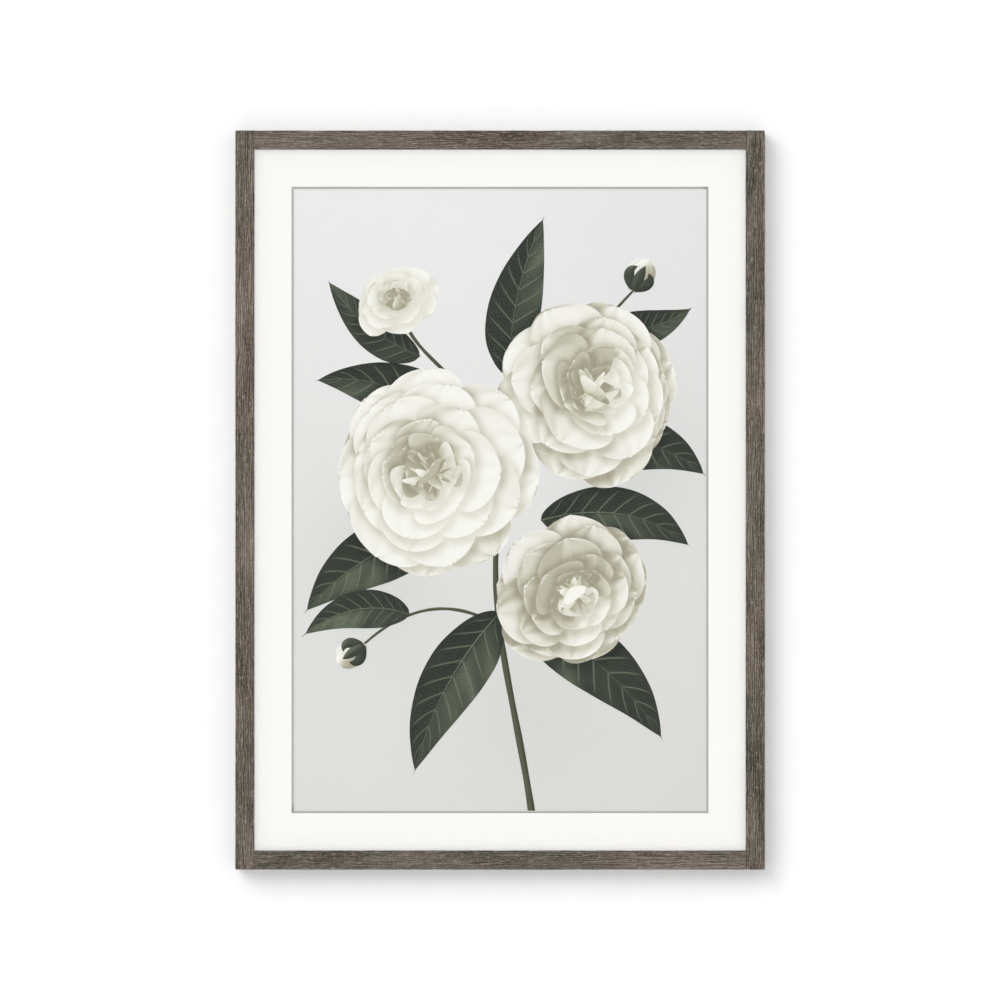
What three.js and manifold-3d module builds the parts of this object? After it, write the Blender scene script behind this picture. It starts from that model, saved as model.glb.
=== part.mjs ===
// A framed print for a wall, in portrait format, modelled in millimetres.
//
// Four flat rebated boards are butted and dowelled into a frame, with the two upright stiles
// running its full height. Behind the front lip lie, from front to back, picture glass, a mat with a
// bevel-cut window, the print, a foam board, a filler of corrugated card and a hardboard panel.
// Eight turn buttons lock the panel in, a sawtooth hanger sits on the wall nail, and four pads keep
// the frame off the wall.
//
// +X is to the viewer's right, +Y points into the wall and +Z is up. The origin is on the wall's
// face, where the nail that carries the hanger's middle notch goes in.

import * as THREE from "three";
import { mergeVertices } from "three/addons/utils/BufferGeometryUtils.js";
import Module from "manifold-3d";

const wasm = await Module();
wasm.setup();

// ---------------------------------------------------------------- driving dimensions
const WINDOW = { width: 406, height: 610 }; // the opening in the mat's face
const MAT_BORDER = 36; // mat that shows between its window and the frame
const FACE = 18.5; // width of the frame's front face
const DEPTH = 20; // of the frame, front to back
const LIP = 3.8; // wood in front of the glass
const REBATE = 6.5; // how far the rebate is cut into each board
const ARRIS = 0.5; // the small flat that takes the sharpness off an edge
const AIR = 0.05; // between two faces that touch
const SHEET_PLAY = 1.5; // between the sheets' edges and the rebate's wall, on each side
const PRINT_MARGIN = 8; // how far the print reaches behind the mat, on each side
const THICKNESS = { glass: 2, mat: 2.4, print: 0.4, foam: 5, card: 3, panel: 3 };
const DOWEL = { radius: 2.5, inStile: 8, inRail: 16, play: 0.15, depths: [-12, -4.2] };
const BUTTON = { bigRadius: 5, tipRadius: 3.4, reach: 17, thickness: 1, lift: 0.15, bore: 1.75 };
const BUTTON_SPACING = { onStiles: 340, onRails: 240 };
const SCREW = { shank: 1.2, head: 2.9, headHeight: 1.6, length: 11, play: 0.25 };
const HANGER = { length: 44, height: 9, thickness: 0.9, raise: 2.1, bridge: 28, edge: 1.5 };
const TOOTH = { pitch: 2.8, depth: 1.5, notches: 9 };
const NAIL = { shank: 0.65, head: 1.7, headHeight: 0.8, length: 10, play: 0.25, spacing: 38 };
const PAD = { radius: 5, height: 3.2, flat: 4.2, inset: 7 };
const ROUND_SIDES = 24;

// ---------------------------------------------------------------- what follows from them
const WIDTH = WINDOW.width + 2 * (MAT_BORDER + FACE);
const HEIGHT = WINDOW.height + 2 * (MAT_BORDER + FACE);
const WALL = FACE - REBATE; // wood left beside the rebate
const RAIL_LENGTH = WIDTH - 2 * FACE;
const SHEET = {
  width: WIDTH - 2 * (WALL + SHEET_PLAY),
  height: HEIGHT - 2 * (WALL + SHEET_PLAY),
};
const NOTCH_BELOW_TOP = HANGER.edge + HANGER.height - TOOTH.depth;
const LIP_BACK = LIP - DEPTH;

// ---------------------------------------------------------------- materials
const material = (color, roughness, metalness = 0, extra = {}) =>
  new THREE.MeshStandardMaterial({ color, roughness, metalness, ...extra });

const weatheredOak = material(0x6b635a, 0.75);
const beech = material(0xc9a877, 0.7);
const pictureGlass = material(0xf2f7f6, 0.05, 0, { transparent: true, opacity: 0.12 });
const matPaper = material(0xfaf9f5, 0.95);
const printPaper = material(0xdcdedb, 0.85);
const foamCore = material(0xf1efe9, 0.9);
const corrugatedCard = material(0xb08d62, 0.9);
const hardboard = material(0x7a5a3c, 0.85);
const zincPlate = material(0xb4b6b4, 0.35, 1);
const brassPlate = material(0xb8964f, 0.35, 1);
const greyFelt = material(0x5a5a58, 1);

// ---------------------------------------------------------------- solids
// A closed three.js geometry as a solid that can be joined and cut.
function solid(geometry) {
  const bare = new THREE.BufferGeometry();
  bare.setAttribute("position", geometry.getAttribute("position"));
  bare.setIndex(geometry.index);
  const merged = mergeVertices(bare, 1e-4);
  return new wasm.Manifold(
    new wasm.Mesh({
      numProp: 3,
      vertProperties: merged.attributes.position.array,
      triVerts: new Uint32Array(merged.index.array),
    }),
  );
}

// The solid's surface as a three.js geometry again.
function geometryOf(made) {
  const mesh = made.getMesh();
  const geometry = new THREE.BufferGeometry();
  geometry.setAttribute("position", new THREE.BufferAttribute(mesh.vertProperties, 3));
  geometry.setIndex(new THREE.BufferAttribute(mesh.triVerts, 1));
  const faceted = geometry.toNonIndexed();
  faceted.computeVertexNormals();
  return faceted;
}

// A box between two corners.
function block([x0, y0, z0], [x1, y1, z1]) {
  const geometry = new THREE.BoxGeometry(x1 - x0, y1 - y0, z1 - z0);
  geometry.translate((x0 + x1) / 2, (y0 + y1) / 2, (z0 + z1) / 2);
  return solid(geometry);
}

// An outline drawn in the plane across an axis and run along that axis, centred on 0. The outline's
// two coordinates are (y, z) along x, (x, z) along y and (x, y) along z.
const AXIS_TURN = {
  x: new THREE.Matrix4().set(0, 0, 1, 0, 1, 0, 0, 0, 0, 1, 0, 0, 0, 0, 0, 1),
  y: new THREE.Matrix4().makeRotationX(Math.PI / 2),
  z: new THREE.Matrix4(),
};
function extruded(outline, length, axis, sides = 1) {
  const shape = outline instanceof THREE.Shape ? outline : new THREE.Shape(outline);
  const settings = { depth: length, bevelEnabled: false, curveSegments: sides };
  const geometry = new THREE.ExtrudeGeometry(shape, settings);
  geometry.translate(0, 0, -length / 2);
  geometry.applyMatrix4(AXIS_TURN[axis]);
  return solid(geometry);
}

// A profile of (radius, y) points from the lowest on the axis to the highest, turned about Y.
function turned(points, sides = ROUND_SIDES) {
  return new THREE.LatheGeometry(points.map(([r, y]) => new THREE.Vector2(r, y)), sides);
}

const points = (pairs) => pairs.map(([a, b]) => new THREE.Vector2(a, b));

function piece(name, geometry, look, position = [0, 0, 0], turn = 0) {
  const mesh = new THREE.Mesh(geometry, look);
  mesh.name = name;
  mesh.position.set(...position);
  mesh.rotation.y = turn;
  return mesh;
}

// A plain hole along Y, from the frame's back face down to a depth.
function pilotHole(x, z, radius, depth) {
  const geometry = new THREE.CylinderGeometry(radius, radius, depth + 1, 16);
  geometry.translate(x, (1 - depth) / 2, z);
  return solid(geometry);
}

// ---------------------------------------------------------------- the frame's boards
// Every board is drawn from the frame's outer edge inwards, with its back face at y = 0.
const buttonsOn = {
  stile: [-1, 1].map((side) => (side * BUTTON_SPACING.onStiles) / 2),
  rail: [-1, 1].map((side) => (side * BUTTON_SPACING.onRails) / 2),
};

function dowelHole(xEnd, xMiddle, y, z) {
  const length = Math.abs(xMiddle - xEnd) + 1;
  const geometry = new THREE.CylinderGeometry(
    DOWEL.radius + DOWEL.play,
    DOWEL.radius + DOWEL.play,
    length,
    ROUND_SIDES,
  );
  geometry.rotateZ(Math.PI / 2);
  geometry.translate(xEnd + (Math.sign(xMiddle - xEnd) * length) / 2, y, z);
  return solid(geometry);
}

// The left stile, its outer edge at x = 0, centred in height. Its rebate runs out at both ends.
function stile() {
  const outline = points([
    [ARRIS, -DEPTH],
    [FACE - ARRIS, -DEPTH],
    [FACE, ARRIS - DEPTH],
    [FACE, LIP_BACK],
    [WALL, LIP_BACK],
    [WALL, 0],
    [ARRIS, 0],
    [0, -ARRIS],
    [0, ARRIS - DEPTH],
  ]);
  let made = extruded(outline, HEIGHT, "z");
  for (const end of [-1, 1]) {
    const z = end * (HEIGHT / 2 - WALL / 2);
    for (const y of DOWEL.depths) {
      made = made.subtract(dowelHole(WALL - DOWEL.inStile - DOWEL.play, WALL, y, z));
    }
  }
  for (const z of buttonsOn.stile) {
    made = made.subtract(pilotHole(WALL / 2, z, SCREW.shank + SCREW.play, SCREW.length));
  }
  return made;
}

// A rail, its outer edge at z = 0 and the rest below it, centred in length. Its lip ends at the
// stiles' lips, and the wood behind it laps over them up to the walls of their rebates.
function rail(holes) {
  const outline = points([
    [-DEPTH, ARRIS - FACE],
    [ARRIS - DEPTH, -FACE],
    [LIP_BACK, -FACE],
    [LIP_BACK, -WALL],
    [0, -WALL],
    [0, -ARRIS],
    [-ARRIS, 0],
    [ARRIS - DEPTH, 0],
    [-DEPTH, -ARRIS],
  ]);
  let made = extruded(outline, RAIL_LENGTH + 2 * (REBATE - AIR), "x");
  for (const end of [-1, 1]) {
    const lipEnd = end * (RAIL_LENGTH / 2 - AIR);
    const mouth = end * (RAIL_LENGTH / 2 + REBATE);
    const [left, right] = [lipEnd, mouth + end].sort((a, b) => a - b);
    made = made.subtract(block([left, -DEPTH - 1, -FACE - 1], [right, LIP_BACK + AIR, 1]));
    for (const y of DOWEL.depths) {
      const bottom = mouth - end * (DOWEL.inRail + DOWEL.play);
      made = made.subtract(dowelHole(bottom, mouth, y, -WALL / 2));
    }
  }
  for (const [x, radius, depth] of holes) {
    made = made.subtract(pilotHole(x, -WALL / 2, radius, depth));
  }
  return made;
}

const screwHoles = buttonsOn.rail.map((x) => [x, SCREW.shank + SCREW.play, SCREW.length]);
const nailHoles = [-1, 1].map((side) => [
  (side * NAIL.spacing) / 2,
  NAIL.shank + NAIL.play,
  NAIL.length,
]);

function frameBoards() {
  const boards = new THREE.Group();
  const upright = geometryOf(stile());
  const half = { width: WIDTH / 2, height: HEIGHT / 2 };
  boards.add(
    piece("stile_left", upright, weatheredOak, [-half.width, 0, 0]),
    piece("stile_right", upright, weatheredOak, [half.width, 0, 0], Math.PI),
    piece("rail_top", geometryOf(rail([...screwHoles, ...nailHoles])), weatheredOak, [
      0,
      0,
      half.height,
    ]),
    piece(
      "rail_bottom",
      geometryOf(rail(screwHoles)),
      weatheredOak,
      [0, 0, -half.height],
      Math.PI,
    ),
  );
  return boards;
}

// Two beech dowels lock each rail's end to its stile, one behind the other.
function dowels() {
  const group = new THREE.Group();
  const length = DOWEL.inStile + DOWEL.inRail;
  const chamfer = 0.8;
  const profile = [
    [0, -length / 2],
    [DOWEL.radius - chamfer, -length / 2],
    [DOWEL.radius, chamfer - length / 2],
    [DOWEL.radius, length / 2 - chamfer],
    [DOWEL.radius - chamfer, length / 2],
    [0, length / 2],
  ];
  const geometry = turned(profile, 16).rotateZ(Math.PI / 2);
  const joint = WIDTH / 2 - WALL;
  const middle = joint + (DOWEL.inStile - DOWEL.inRail) / 2;
  const height = HEIGHT / 2 - WALL / 2;
  const places = { front: DOWEL.depths[0], back: DOWEL.depths[1] };
  for (const [level, z] of [["top", height], ["bottom", -height]]) {
    for (const [side, x] of [["left", -middle], ["right", middle]]) {
      for (const [place, y] of Object.entries(places)) {
        group.add(piece(`dowel_${level}_${side}_${place}`, geometry, beech, [x, y, z]));
      }
    }
  }
  return group;
}

// ---------------------------------------------------------------- the sheets in the rebate
// A flat sheet whose front face is at y = 0.
function sheet(width, height, thickness) {
  return block([-width / 2, 0, -height / 2], [width / 2, thickness, height / 2]);
}

// The mat's window is cut at 45 degrees, so that it is wider in the face than in the back.
function matBoard() {
  const overshoot = 1;
  const depth = THICKNESS.mat + 2 * overshoot;
  const cutter = new THREE.BoxGeometry(1, depth, 1);
  const corners = cutter.getAttribute("position");
  for (let i = 0; i < corners.count; i++) {
    const front = corners.getY(i) < 0;
    const grow = front ? overshoot : -THICKNESS.mat - overshoot;
    corners.setX(i, corners.getX(i) * (WINDOW.width + 2 * grow));
    corners.setZ(i, corners.getZ(i) * (WINDOW.height + 2 * grow));
  }
  cutter.translate(0, THICKNESS.mat / 2, 0);
  return sheet(SHEET.width, SHEET.height, THICKNESS.mat).subtract(solid(cutter));
}

function sheets() {
  const group = new THREE.Group();
  const printSize = {
    width: WINDOW.width + 2 * PRINT_MARGIN,
    height: WINDOW.height + 2 * PRINT_MARGIN,
  };
  const stack = [
    ["glass", pictureGlass, THICKNESS.glass, sheet(SHEET.width, SHEET.height, THICKNESS.glass)],
    ["mat_board", matPaper, THICKNESS.mat, matBoard()],
    ["print", printPaper, THICKNESS.print, sheet(printSize.width, printSize.height, THICKNESS.print)],
    ["foam_board", foamCore, THICKNESS.foam, sheet(SHEET.width, SHEET.height, THICKNESS.foam)],
    ["filler_card", corrugatedCard, THICKNESS.card, sheet(SHEET.width, SHEET.height, THICKNESS.card)],
    ["back_panel", hardboard, THICKNESS.panel, sheet(SHEET.width, SHEET.height, THICKNESS.panel)],
  ];
  let front = LIP_BACK + AIR;
  for (const [name, look, thickness, made] of stack) {
    group.add(piece(name, geometryOf(made), look, [0, front, 0]));
    front += thickness + AIR;
  }
  return group;
}

// ---------------------------------------------------------------- turn buttons
// A stamped steel tongue, round about its screw and narrower at the tip, which points along +X.
function buttonPlate() {
  const { bigRadius, tipRadius, reach, thickness, bore } = BUTTON;
  const tipCentre = reach - tipRadius;
  const lean = Math.acos((bigRadius - tipRadius) / tipCentre);
  const outline = new THREE.Shape();
  outline.absarc(0, 0, bigRadius, lean, 2 * Math.PI - lean, false);
  outline.absarc(tipCentre, 0, tipRadius, -lean, lean, false);
  outline.closePath();
  const hole = new THREE.Path();
  hole.absarc(0, 0, bore, 0, 2 * Math.PI, true);
  outline.holes.push(hole);
  return extruded(outline, thickness, "y", ROUND_SIDES / 2);
}

// A pan-head wood screw with a cross recess. Its head's underside is just above the button.
function panScrew() {
  const underHead = BUTTON.lift + BUTTON.thickness + 2 * AIR;
  const top = underHead + SCREW.headHeight;
  const point = -SCREW.length + 0.5;
  const body = turned([
    [0, point],
    [SCREW.shank, point + 2.5],
    [SCREW.shank, underHead],
    [SCREW.head - 0.1, underHead],
    [SCREW.head, underHead + 0.3],
    [SCREW.head * 0.93, top - 0.7],
    [SCREW.head * 0.72, top - 0.27],
    [SCREW.head * 0.4, top - 0.05],
    [0, top],
  ]);
  const arm = SCREW.head * 0.6;
  const halfWidth = 0.38;
  const recessFloor = top - 1;
  const slot = block([-arm, recessFloor, -halfWidth], [arm, top + 1, halfWidth]);
  const crossSlot = block([-halfWidth, recessFloor, -arm], [halfWidth, top + 1, arm]);
  return solid(body).subtract(slot.add(crossSlot));
}

function turnButtons() {
  const group = new THREE.Group();
  const plate = geometryOf(buttonPlate());
  const screw = geometryOf(panScrew());
  const inset = WALL / 2;
  const side = WIDTH / 2 - inset;
  const end = HEIGHT / 2 - inset;
  const [low, high] = buttonsOn.stile;
  const [left, right] = buttonsOn.rail;
  const quarter = Math.PI / 2;
  const places = [
    ["left_upper", -side, high, 0],
    ["left_lower", -side, low, 0],
    ["right_upper", side, high, 2 * quarter],
    ["right_lower", side, low, 2 * quarter],
    ["top_left", left, end, quarter],
    ["top_right", right, end, quarter],
    ["bottom_left", left, -end, -quarter],
    ["bottom_right", right, -end, -quarter],
  ];
  const middle = BUTTON.lift + BUTTON.thickness / 2;
  for (const [name, x, z, turn] of places) {
    group.add(
      piece(`button_${name}`, plate, zincPlate, [x, middle, z], turn),
      piece(`screw_${name}`, screw, zincPlate, [x, 0, z], turn),
    );
  }
  return group;
}

// ---------------------------------------------------------------- hanger
// A steel strip whose ends lie flat on the top rail. Its middle stands off the wood, and its lower
// edge there is cut into notches for the wall nail. The strip's lower edge is at z = 0.
function hangerStrip() {
  const { length, height, thickness, raise, bridge } = HANGER;
  const end = length / 2;
  const bend = bridge / 2;
  const slope = 2;
  const miter = 0.4;
  const bent = points([
    [-end, AIR],
    [-bend - slope + miter, AIR],
    [-bend + miter, AIR + raise],
    [bend - miter, AIR + raise],
    [bend + slope - miter, AIR],
    [end, AIR],
    [end, AIR + thickness],
    [bend + slope, AIR + thickness],
    [bend, AIR + raise + thickness],
    [-bend, AIR + raise + thickness],
    [-bend - slope, AIR + thickness],
    [-end, AIR + thickness],
  ]);
  const corner = 2;
  const outline = new THREE.Shape();
  outline.moveTo(-end + corner, 0);
  const outermost = (TOOTH.notches - 1) / 2;
  for (let i = -outermost; i <= outermost; i++) {
    const x = i * TOOTH.pitch;
    outline.lineTo(x - TOOTH.pitch / 2, 0);
    outline.lineTo(x, TOOTH.depth);
  }
  outline.lineTo((outermost + 0.5) * TOOTH.pitch, 0);
  outline.lineTo(end - corner, 0);
  outline.absarc(end - corner, corner, corner, -Math.PI / 2, 0, false);
  outline.absarc(end - corner, height - corner, corner, 0, Math.PI / 2, false);
  outline.absarc(-end + corner, height - corner, corner, Math.PI / 2, Math.PI, false);
  outline.absarc(-end + corner, corner, corner, Math.PI, 1.5 * Math.PI, false);
  const face = extruded(outline, 4 * (raise + thickness), "y", 6);
  const strip = extruded(bent, 4 * height, "z").intersect(face);
  const holes = [-1, 1].map((sign) =>
    pilotHole((sign * NAIL.spacing) / 2, height / 2, NAIL.shank + NAIL.play, 1),
  );
  return holes.reduce((made, hole) => made.subtract(hole), strip);
}

function nail() {
  const underHead = HANGER.thickness + 3 * AIR;
  const point = -NAIL.length + 0.5;
  return turned(
    [
      [0, point],
      [NAIL.shank, point + 1.5],
      [NAIL.shank, underHead],
      [NAIL.head, underHead],
      [NAIL.head, underHead + 0.3],
      [NAIL.head * 0.7, underHead + NAIL.headHeight * 0.85],
      [0, underHead + NAIL.headHeight],
    ],
    16,
  );
}

function hanger() {
  const group = new THREE.Group();
  const lowerEdge = HEIGHT / 2 - HANGER.edge - HANGER.height;
  const middle = HEIGHT / 2 - WALL / 2;
  group.add(piece("hanger", geometryOf(hangerStrip()), brassPlate, [0, 0, lowerEdge]));
  for (const [side, sign] of [["left", -1], ["right", 1]]) {
    const x = (sign * NAIL.spacing) / 2;
    group.add(piece(`nail_${side}`, nail(), brassPlate, [x, 0, middle]));
  }
  return group;
}

// ---------------------------------------------------------------- wall pads
function pads() {
  const group = new THREE.Group();
  const shoulder = PAD.radius - PAD.flat;
  const profile = [[0, AIR], [PAD.radius, AIR], [PAD.radius, PAD.height - shoulder]];
  for (const step of [30, 60]) {
    const angle = THREE.MathUtils.degToRad(step);
    profile.push([
      PAD.flat + shoulder * Math.cos(angle),
      PAD.height - shoulder * (1 - Math.sin(angle)),
    ]);
  }
  profile.push([PAD.flat, PAD.height], [0, PAD.height]);
  const geometry = turned(profile);
  const x = WIDTH / 2 - PAD.inset;
  const z = HEIGHT / 2 - PAD.inset;
  for (const [level, up] of [["top", 1], ["bottom", -1]]) {
    for (const [side, across] of [["left", -1], ["right", 1]]) {
      group.add(piece(`pad_${level}_${side}`, geometry, greyFelt, [across * x, 0, up * z]));
    }
  }
  return group;
}

// ---------------------------------------------------------------- the whole framed print
// Inside this group the frame's back face is at y = 0 and its middle at z = 0.
const framed = new THREE.Group();
framed.position.set(0, -PAD.height, NOTCH_BELOW_TOP - HEIGHT / 2);
framed.add(frameBoards(), dowels(), sheets(), turnButtons(), hanger(), pads());

const part = new THREE.Group();
part.add(framed);

export default part;
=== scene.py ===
import math

import bmesh
import bpy
import numpy as np
from mathutils import Matrix, Vector
from mathutils.geometry import delaunay_2d_cdt


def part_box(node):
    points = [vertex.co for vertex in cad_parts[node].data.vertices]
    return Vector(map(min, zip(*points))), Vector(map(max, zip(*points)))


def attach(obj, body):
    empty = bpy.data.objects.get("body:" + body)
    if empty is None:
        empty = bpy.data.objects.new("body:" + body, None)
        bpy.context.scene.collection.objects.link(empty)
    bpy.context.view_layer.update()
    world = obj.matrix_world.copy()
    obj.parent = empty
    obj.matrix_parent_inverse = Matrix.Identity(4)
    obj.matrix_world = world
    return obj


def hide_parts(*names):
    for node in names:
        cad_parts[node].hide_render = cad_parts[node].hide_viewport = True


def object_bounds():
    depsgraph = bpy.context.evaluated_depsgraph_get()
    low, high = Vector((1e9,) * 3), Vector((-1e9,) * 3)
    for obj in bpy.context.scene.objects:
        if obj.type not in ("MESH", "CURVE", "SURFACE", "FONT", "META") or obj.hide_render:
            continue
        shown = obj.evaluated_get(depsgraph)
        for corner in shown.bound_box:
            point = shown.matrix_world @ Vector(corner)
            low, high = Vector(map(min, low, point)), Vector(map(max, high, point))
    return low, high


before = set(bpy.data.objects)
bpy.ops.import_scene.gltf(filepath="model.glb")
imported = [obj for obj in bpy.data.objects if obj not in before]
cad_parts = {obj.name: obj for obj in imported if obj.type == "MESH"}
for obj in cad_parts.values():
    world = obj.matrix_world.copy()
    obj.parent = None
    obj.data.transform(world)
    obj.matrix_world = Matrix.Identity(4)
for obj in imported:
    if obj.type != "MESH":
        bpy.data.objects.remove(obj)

cad_box = [list(corner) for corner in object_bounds()]


# ---------------------------------------------------------------- view
# The frame hangs flat on a wall and is seen squarely from the front, from far enough away that
# none of its sides shows. The square picture is 972.5 mm wide at the frame's front face.
MM = 0.001
PICTURE_WIDTH = 972.5 * MM
CAMERA_DISTANCE = 5.0
SENSOR = 36.0

low, high = (Vector(corner) for corner in cad_box)
middle = (low + high) / 2
camera_data = bpy.data.cameras.new("camera")
camera_data.sensor_width = SENSOR
camera_data.lens = SENSOR * CAMERA_DISTANCE / PICTURE_WIDTH
camera = bpy.data.objects.new("camera", camera_data)
camera.location = (middle.x, low.y - CAMERA_DISTANCE, middle.z)
camera.rotation_euler = (math.pi / 2, 0, 0)
bpy.context.scene.collection.objects.link(camera)
bpy.context.scene.camera = camera
bpy.context.scene.view_settings.view_transform = "Standard"


# ---------------------------------------------------------------- wall, floor and light
# A matte white wall behind the pads, which from behind is clear and throws no shadow, and a pale
# floor well below. The key lamp is two: one draws the frame's shadow on the wall, and the other
# lights the frame as if its boards let light past, so that the mat is even up to the lip.
class Wire:
    """One output of a node. Arithmetic on it adds Math nodes to its tree."""

    def __init__(self, tree, socket=None):
        self.tree = tree
        self.socket = socket

    def node(self, kind, settings=None, inputs=None, output=0):
        """Adds a node with these settings and inputs, and gives one of its outputs."""
        node = self.tree.nodes.new(kind)
        for name, value in (settings or {}).items():
            setattr(node, name, value)
        for name, value in (inputs or {}).items():
            if isinstance(value, Wire):
                self.tree.links.new(value.socket, node.inputs[name])
            else:
                node.inputs[name].default_value = value
        return Wire(self.tree, node.outputs[output] if node.outputs else None)

    def maths(self, operation, *values):
        return self.node("ShaderNodeMath", {"operation": operation}, dict(enumerate(values)))

    def __add__(self, other):
        return self.maths("ADD", self, other)

    __radd__ = __add__

    def __sub__(self, other):
        return self.maths("SUBTRACT", self, other)

    def __rsub__(self, other):
        return self.maths("SUBTRACT", other, self)

    def __mul__(self, other):
        return self.maths("MULTIPLY", self, other)

    __rmul__ = __mul__

    def __abs__(self):
        return self.maths("ABSOLUTE", self)

    def sine(self):
        return self.maths("SINE", self)

    def least(self, other):
        return self.maths("MINIMUM", self, other)

    def most(self, other):
        return self.maths("MAXIMUM", self, other)

    def parts(self, kind):
        """The three outputs of a node that takes a vector or colour apart."""
        node = self.node(kind, {}, {0: self}).socket.node
        return [Wire(self.tree, output) for output in node.outputs[:3]]

    def between(self, low_end, high_end):
        """0 below low_end, 1 above high_end and smooth in between."""
        settings = {"interpolation_type": "SMOOTHSTEP"}
        return self.node("ShaderNodeMapRange", settings, {0: self, 1: low_end, 2: high_end})

    def mix(self, colour_a, colour_b):
        """From colour_a where this is 0 to colour_b where it is 1. The node's colour sockets share
        their names with others, so they go by number."""
        settings = {"data_type": "RGBA"}
        return self.node("ShaderNodeMix", settings, {0: self, 6: colour_a, 7: colour_b}, 2)

    def vectors(self, operation, other, socket=1, output=0):
        inputs = {0: self, socket: other}
        return self.node("ShaderNodeVectorMath", {"operation": operation}, inputs, output)

    def stretched(self, factors):
        return self.vectors("MULTIPLY", factors)

    def scaled(self, factor):
        return self.vectors("SCALE", factor, "Scale")

    def dot(self, other):
        return self.vectors("DOT_PRODUCT", other, 1, "Value")

    def place(self):
        """Where a point is on its piece, in metres."""
        return self.node("ShaderNodeTexCoord", output="Object")

    def noise(self, scale=1.0, detail=2.0, roughness=0.5, seed=0.0):
        inputs = {0: self, "W": seed, "Scale": scale, "Detail": detail, "Roughness": roughness}
        return self.node("ShaderNodeTexNoise", {"noise_dimensions": "4D"}, inputs)

    def bump(self, height, distance, strength=1.0):
        inputs = {"Height": height, "Distance": distance, "Strength": strength}
        return self.node("ShaderNodeBump", {}, inputs)

    def feed(self, shader="Principled BSDF", **wires):
        """Links wires to the shader's sockets of the same names."""
        for socket, wire in wires.items():
            taken = self.tree.nodes[shader].inputs[socket.replace("_", " ")]
            self.tree.links.new(wire.socket, taken)


def srgb(red, green, blue):
    """A screen colour, 0 to 255, as the linear colour that the materials take."""
    channels = [value / 255 for value in (red, green, blue)]
    return tuple(c / 12.92 if c <= 0.04045 else ((c + 0.055) / 1.055) ** 2.4 for c in channels)


def tint(red, green, blue):
    return (*srgb(red, green, blue), 1)


def finish(name, roughness=0.5, metallic=0.0, **constants):
    """A new material with a Principled shader that has these constants, and a Wire on its tree."""
    material = bpy.data.materials.new(name)
    material.use_nodes = True
    shader = material.node_tree.nodes["Principled BSDF"]
    shader.inputs["Roughness"].default_value = roughness
    shader.inputs["Metallic"].default_value = metallic
    for socket, value in constants.items():
        shader.inputs[socket.replace("_", " ")].default_value = value
    return material, Wire(material.node_tree)


def new_object(name, vertices, faces, material=None):
    mesh = bpy.data.meshes.new(name)
    mesh.from_pydata([tuple(v) for v in vertices], [], faces)
    mesh.update()
    if material:
        mesh.materials.append(material)
    made = bpy.data.objects.new(name, mesh)
    bpy.context.scene.collection.objects.link(made)
    return made


WALL_HALF = 2.0
WALL_GAP = 0.2 * MM
WALL_WHITE = (0.814, 0.814, 0.814, 1)
FLOOR_HALF = 24.0
FLOOR_BELOW = 0.9
FLOOR_TONES = ((0.53, 0.53, 0.53, 1), (0.57, 0.57, 0.56, 1))

plaster, wire = finish("wall_plaster", 0.95, Specular_IOR_Level=0.0, Base_Color=WALL_WHITE)
behind = wire.node("ShaderNodeNewGeometry", output="Backfacing")
clear = wire.node("ShaderNodeBsdfTransparent")
painted = Wire(wire.tree, wire.tree.nodes["Principled BSDF"].outputs[0])
one_sided = wire.node("ShaderNodeMixShader", {}, {0: behind, 1: painted, 2: clear})
wire.feed("Material Output", Surface=one_sided)
wall_y = high.y + WALL_GAP
floor_z = low.z - FLOOR_BELOW
square = ((-1, -1), (1, -1), (1, 1), (-1, 1))
wall_corners = [(x * WALL_HALF, wall_y, max(z * WALL_HALF, floor_z)) for x, z in square]
wall = new_object("wall", wall_corners, [(0, 1, 2, 3)], plaster)
wall.visible_shadow = False
wall.visible_diffuse = False

pale_floor, wire = finish("pale_floor", 0.9)
grain = wire.place().noise(6.0, 4.0)
wire.feed(Base_Color=grain.mix(*FLOOR_TONES))
floor_corners = [(x * FLOOR_HALF, y * FLOOR_HALF, floor_z) for x, y in square]
floor = new_object("floor", floor_corners, [(0, 1, 2, 3)], pale_floor)


def sun(name, direction, strength, breadth):
    """A lamp so far away that it lights the whole frame alike. It shines from that direction and
    looks so many degrees wide."""
    data = bpy.data.lights.new(name, "SUN")
    data.energy = strength
    data.angle = math.radians(breadth)
    lamp = bpy.data.objects.new(name, data)
    lamp.rotation_euler = Vector(direction).to_track_quat("Z", "Y").to_euler()
    bpy.context.scene.collection.objects.link(lamp)
    return lamp


def share(direction, of_wall):
    """The strength that makes a sun in this direction give that share of the wall's light."""
    return of_wall * math.pi / (-Vector(direction).normalized().y)


def lamp_list(name, things, state):
    """A lamp's list of the only things that it heeds (INCLUDE), or passes over (EXCLUDE)."""
    listed = bpy.data.collections.new(name)
    for thing in things:
        listed.objects.link(thing)
    for entry in listed.collection_objects:
        entry.light_linking.link_state = state
    return listed


SKY = 0.685
BACKDROP = (0.97, 0.97, 0.97, 1)
FRONT_SUN = (-0.085, -1.0, 0.085)
FRONT_SHARE = 0.25
KEY_SUN = (-0.75, -1.0, 0.75)
KEY_SHARE = 0.353
BACK_SUN = (0.5, 1.0, 0.7)
BACK_STRENGTH = 1.2
SHARP = 1.0
SOFT = 40.0

sun("front_sun", FRONT_SUN, share(FRONT_SUN, FRONT_SHARE), SHARP)
key_on_wall = sun("key_sun_on_wall", KEY_SUN, share(KEY_SUN, KEY_SHARE), SOFT)
key_on_wall.light_linking.receiver_collection = lamp_list("on_wall", (wall, floor), "INCLUDE")
key_on_frame = sun("key_sun_on_frame", KEY_SUN, share(KEY_SUN, KEY_SHARE), SOFT)
key_on_frame.light_linking.receiver_collection = lamp_list("off_wall", (wall, floor), "EXCLUDE")
sun("back_sun", BACK_SUN, BACK_STRENGTH, SOFT)

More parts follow.
